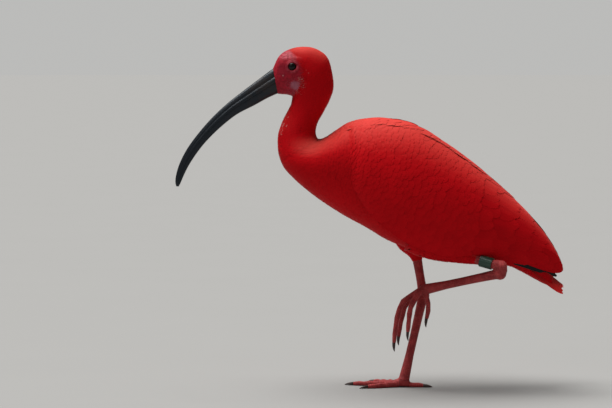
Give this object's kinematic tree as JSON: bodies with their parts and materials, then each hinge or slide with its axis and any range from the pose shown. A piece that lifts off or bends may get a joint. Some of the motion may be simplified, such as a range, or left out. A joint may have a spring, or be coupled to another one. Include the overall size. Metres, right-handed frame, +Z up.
{
  "type": "scarlet ibis figure",
  "caption": "Scarlet ibis at life size, standing on one leg with the other drawn up, long down-curved bill, folded wings.",
  "frame": {"origin": "on the floor, under the toe joint of the standing foot, in the middle of its pad", "axes": "-X the way the bird looks, -Y its left side, +Z up; the bird's middle plane is Y = 0"},
  "size_m": [0.4025, 0.11, 0.3512],
  "materials": {
    "scarlet_feather": "plumage, scarlet, soft sheen",
    "black_feather": "dark tips of the outer flight feathers",
    "red_skin": "bare facial skin and short head feathers",
    "leg_skin": "scaled leg skin, dull pinkish red",
    "dark_horn": "horn, blackish, semi-gloss",
    "dark_eye": "dark brown, glossy",
    "green_plastic": "plain leg ring, dark green"
  },
  "bodies": {
    "root": {"bill_lower": "dark_horn", "bill_upper": "dark_horn", "head": "red_skin", "left_eye": "dark_eye", "left_foot": "leg_skin", "left_hind_claw": "dark_horn", "left_inner_claw": "dark_horn", "left_middle_claw": "dark_horn", "left_outer_claw": "dark_horn", "left_primaries": "black_feather", "left_shin": "leg_skin", "left_tarsus": "leg_skin", "left_thigh": "scarlet_feather", "left_wing": "scarlet_feather", "leg_band": "green_plastic", "neck": "scarlet_feather", "right_eye": "dark_eye", "right_foot": "leg_skin", "right_hind_claw": "dark_horn", "right_inner_claw": "dark_horn", "right_middle_claw": "dark_horn", "right_outer_claw": "dark_horn", "right_primaries": "black_feather", "right_shin": "leg_skin", "right_tarsus": "leg_skin", "right_thigh": "scarlet_feather", "right_wing": "scarlet_feather", "tail": "scarlet_feather", "torso": "scarlet_feather"}
  },
  "joints": []
}
